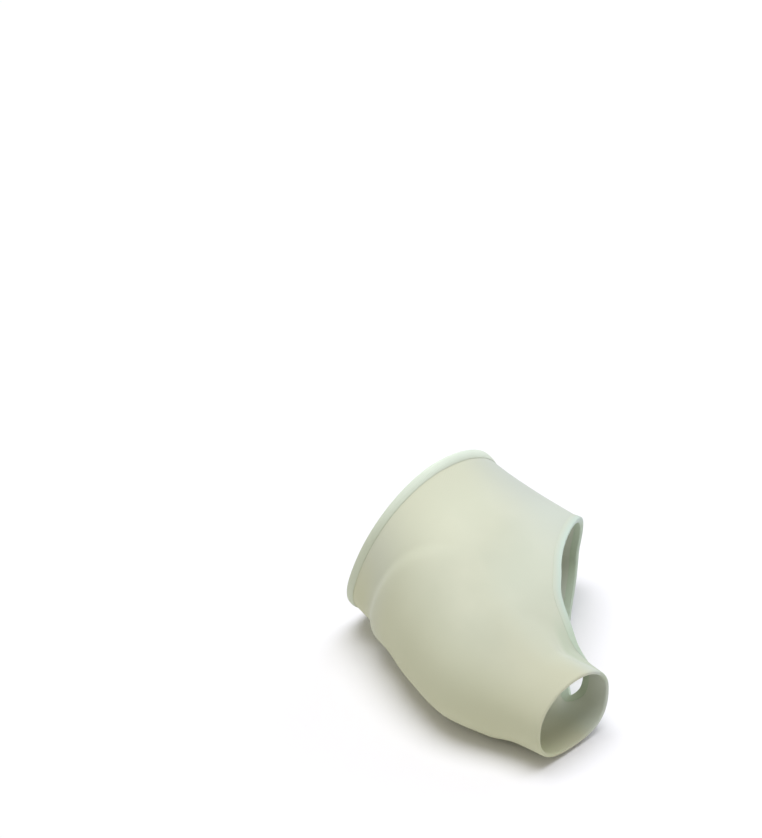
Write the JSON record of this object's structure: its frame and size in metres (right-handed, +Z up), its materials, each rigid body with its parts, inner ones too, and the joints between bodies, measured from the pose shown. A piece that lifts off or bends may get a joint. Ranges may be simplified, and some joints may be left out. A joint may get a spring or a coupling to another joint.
{
  "type": "bunion sleeve",
  "caption": "Stretch-cloth sleeve for the front of a left foot, with a gel pad over the bunion, a ring round the big toe, a window for the small toes and bound edges.",
  "frame": {"origin": "middle of the rear opening, where the foot goes in", "axes": "+Y out of the rear opening towards the heel, +X towards the little toe, +Z up from the sole"},
  "size_m": [0.0955, 0.0968, 0.0614],
  "materials": {
    "sleeve_cloth": "matt fine stretch knit, pale cream green",
    "binding_cloth": "soft folded elastic binding, pale mint white",
    "gel": "soft satin gel, off white"
  },
  "bodies": {
    "root": {"sleeve_body": "sleeve_cloth", "rear_binding": "binding_cloth", "window_binding": "binding_cloth", "gel_pad": "gel"}
  },
  "joints": []
}
